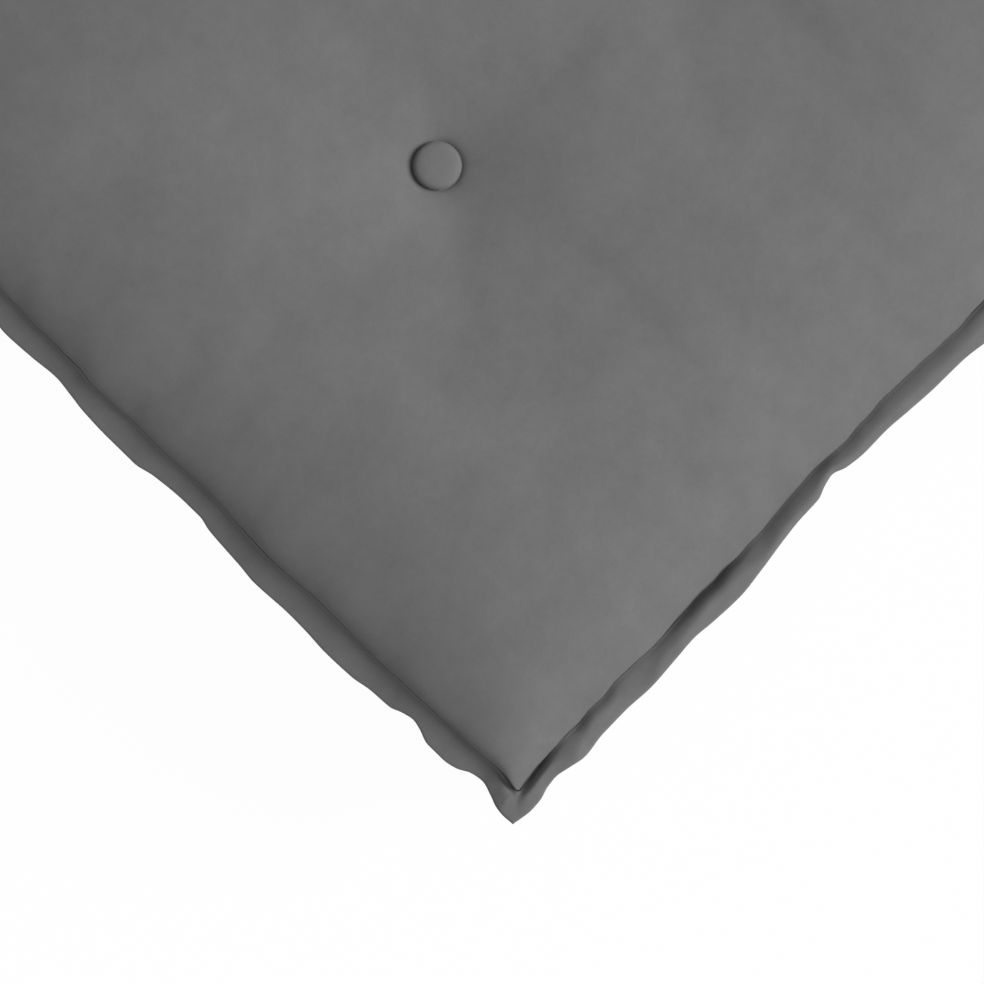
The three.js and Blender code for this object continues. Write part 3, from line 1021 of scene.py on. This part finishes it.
# =========================== buttons ===========================
# A covered button's section: r is a share of its radius and h of its height.
BUTTON_SECTION = [
    (0.0, 1.0), (0.2, 0.995), (0.4, 0.98), (0.58, 0.95), (0.72, 0.905), (0.83, 0.845), (0.91, 0.76),
    (0.96, 0.65), (0.99, 0.5), (1.0, 0.34), (0.99, 0.18), (0.95, 0.06), (0.86, 0.0), (0.5, 0.0),
]
BUTTON_SEGMENTS = 64


def button_mesh(name, centre, z, material):
    """A covered button: a nearly flat cloth face that turns in sharply under its rim."""
    vertices = [(centre, BUTTON_ROW, z + BUTTON_HEIGHT)]
    for r, h in BUTTON_SECTION[1:]:
        for s in range(BUTTON_SEGMENTS):
            angle = 2 * math.pi * s / BUTTON_SEGMENTS
            vertices.append((centre + r * BUTTON_RADIUS * math.cos(angle),
                             BUTTON_ROW + r * BUTTON_RADIUS * math.sin(angle), z + h * BUTTON_HEIGHT))
    vertices.append((centre, BUTTON_ROW, z))
    faces = [(0, 1 + s, 1 + (s + 1) % BUTTON_SEGMENTS) for s in range(BUTTON_SEGMENTS)]
    for k in range(len(BUTTON_SECTION) - 2):
        a = 1 + k * BUTTON_SEGMENTS
        b = a + BUTTON_SEGMENTS
        for s in range(BUTTON_SEGMENTS):
            t = (s + 1) % BUTTON_SEGMENTS
            faces.append((a + s, b + s, b + t, a + t))
    last = 1 + (len(BUTTON_SECTION) - 2) * BUTTON_SEGMENTS
    end = len(vertices) - 1
    faces += [(last + (s + 1) % BUTTON_SEGMENTS, last + s, end) for s in range(BUTTON_SEGMENTS)]
    return make_mesh(name, vertices, faces, material)


# =========================== finishes and stage ===========================
GREY = 0.165  # the cloth's own lightness
CLOUDING = 0.24  # how far its clouding goes to each side of that, as a share
PILE = 0.06  # and its pile


def velvet():
    """Plain grey velvet: a matt pile with a soft sheen, faint clouding and a fine uneven nap."""
    material = bpy.data.materials.new("velvet_grey")
    material.use_nodes = True
    nodes, links = material.node_tree.nodes, material.node_tree.links
    shader = nodes["Principled BSDF"]
    shader.inputs["Roughness"].default_value = 0.95
    shader.inputs["Specular IOR Level"].default_value = 0.1
    shader.inputs["Sheen Weight"].default_value = 0.15
    shader.inputs["Sheen Roughness"].default_value = 0.4
    place = nodes.new("ShaderNodeTexCoord")

    def noise(scale, detail, roughness, stretch=(1, 1, 1)):
        mapping = nodes.new("ShaderNodeMapping")
        mapping.inputs["Scale"].default_value = stretch
        links.new(place.outputs["Object"], mapping.inputs["Vector"])
        texture = nodes.new("ShaderNodeTexNoise")
        texture.inputs["Scale"].default_value = scale
        texture.inputs["Detail"].default_value = detail
        texture.inputs["Roughness"].default_value = roughness
        links.new(mapping.outputs["Vector"], texture.inputs["Vector"])
        return texture.outputs["Fac"]

    def grey(spread):
        """The two ends of a mix that is on average 1."""
        return (1 - spread,) * 3 + (1,), (1 + spread,) * 3 + (1,)

    def tint(colour, factor, spread):
        """The colour times a grey that the factor picks."""
        pick = nodes.new("ShaderNodeMix")
        pick.data_type = "RGBA"
        pick.inputs["A"].default_value, pick.inputs["B"].default_value = grey(spread)
        links.new(factor, pick.inputs["Factor"])
        times = nodes.new("ShaderNodeMix")
        times.data_type = "RGBA"
        times.blend_type = "MULTIPLY"
        times.inputs["Factor"].default_value = 1.0
        times.inputs["A"].default_value = (GREY, GREY, GREY, 1)
        if colour:
            links.new(colour, times.inputs["A"])
        links.new(pick.outputs["Result"], times.inputs["B"])
        return times.outputs["Result"]

    clouds = noise(scale=22.0, detail=5.0, roughness=0.85)
    pile = noise(scale=1500.0, detail=2.0, roughness=0.6, stretch=(1.0, 0.7, 1.0))
    links.new(tint(tint(None, clouds, CLOUDING), pile, PILE), shader.inputs["Base Color"])

    nap = noise(scale=260.0, detail=3.0, roughness=0.6)
    previous = None
    for height, distance, strength in ((nap, 0.00012, 0.5), (pile, 0.00008, 0.35)):
        bump = nodes.new("ShaderNodeBump")
        bump.inputs["Strength"].default_value = strength
        bump.inputs["Distance"].default_value = distance
        links.new(height, bump.inputs["Height"])
        if previous:
            links.new(previous, bump.inputs["Normal"])
        previous = bump.outputs["Normal"]
    links.new(previous, shader.inputs["Normal"])
    return material


FLOOR_HALF = 6.0  # metres
FLOOR_GLOW = 0.97  # the share of plain white that the camera sees, the rest being the lit floor


def floor():
    mesh = bpy.data.meshes.new("floor")
    s = FLOOR_HALF
    mesh.from_pydata([(-s, -s, 0), (s, -s, 0), (s, s, 0), (-s, s, 0)], [], [(0, 1, 2, 3)])
    obj = bpy.data.objects.new("floor", mesh)
    bpy.context.scene.collection.objects.link(obj)
    material = bpy.data.materials.new("floor_white")
    material.use_nodes = True
    nodes, links = material.node_tree.nodes, material.node_tree.links
    shader = nodes["Principled BSDF"]
    shader.inputs["Base Color"].default_value = (0.82, 0.82, 0.82, 1)
    shader.inputs["Roughness"].default_value = 0.9
    out = nodes["Material Output"]
    glow = nodes.new("ShaderNodeEmission")
    glow.inputs["Color"].default_value = (1, 1, 1, 1)
    mix = nodes.new("ShaderNodeMixShader")
    path = nodes.new("ShaderNodeLightPath")
    share = nodes.new("ShaderNodeMath")
    share.operation = "MULTIPLY"
    share.inputs[1].default_value = FLOOR_GLOW
    links.new(path.outputs["Is Camera Ray"], share.inputs[0])
    links.new(share.outputs[0], mix.inputs[0])
    links.new(shader.outputs[0], mix.inputs[1])
    links.new(glow.outputs[0], mix.inputs[2])
    links.new(mix.outputs[0], out.inputs["Surface"])
    mesh.materials.append(material)


VIEW_MIDDLE = (-211.7, -104.1)  # mm, the point of the front seam's level in the picture's middle
VIEW_WIDTH = 382.8  # mm across the picture at that level
VIEW_HEIGHT = FRONT_SEAM_Z
VIEW_ROLL = 45.6  # degrees that +X is turned up from the picture's right
CAMERA_DISTANCE = 2000.0
SENSOR = 36.0


def camera():
    data = bpy.data.cameras.new("camera")
    data.sensor_width = SENSOR
    data.lens = SENSOR * CAMERA_DISTANCE / VIEW_WIDTH
    obj = bpy.data.objects.new("camera", data)
    bpy.context.scene.collection.objects.link(obj)
    obj.location = (VIEW_MIDDLE[0] * MM, VIEW_MIDDLE[1] * MM, (VIEW_HEIGHT + CAMERA_DISTANCE) * MM)
    obj.rotation_euler = (0, 0, math.radians(-VIEW_ROLL))
    bpy.context.scene.camera = obj


def area_light(name, towards, elevation, distance, size, power):
    """A square soft light. towards is the picture direction that it comes from, in degrees."""
    data = bpy.data.lights.new(name, "AREA")
    data.shape = "SQUARE"
    data.size = size
    data.energy = power
    obj = bpy.data.objects.new(name, data)
    bpy.context.scene.collection.objects.link(obj)
    azimuth = math.radians(towards - VIEW_ROLL)
    e = math.radians(elevation)
    d = (math.cos(e) * math.cos(azimuth), math.cos(e) * math.sin(azimuth), math.sin(e))
    obj.location = [c * distance for c in d]
    obj.rotation_euler = (0, math.radians(90 - elevation), azimuth)


WORLD_LIGHT = 0.35


def lights():
    area_light("key", towards=3.4, elevation=40.5, distance=8.0, size=4.2, power=675)
    world = bpy.data.worlds.new("world")
    bpy.context.scene.world = world
    world.use_nodes = True
    world.node_tree.nodes["Background"].inputs["Color"].default_value = (1, 1, 1, 1)
    world.node_tree.nodes["Background"].inputs["Strength"].default_value = WORLD_LIGHT


# =========================== building ===========================
material = velvet()
body = cushion_cover(material)
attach(body, "root")
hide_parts("cushion_body")

for name, node, panel in (("front_edge", "front_flange", FRONT), ("back_edge", "back_flange", BACK)):
    piece = flange_mesh(name, panel, material)
    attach(piece, "root")
    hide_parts(node)

for k, centre in enumerate(BUTTONS):
    z = float(front_z(np.array([centre]), np.array([BUTTON_ROW]))[0]) + BUTTON_SEAT
    piece = button_mesh(f"covered_button_{k + 1}", centre, z, material)
    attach(piece, "root")
    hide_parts(f"button_{k + 1}")

floor()
camera()
lights()
bpy.context.scene.view_settings.view_transform = "Standard"
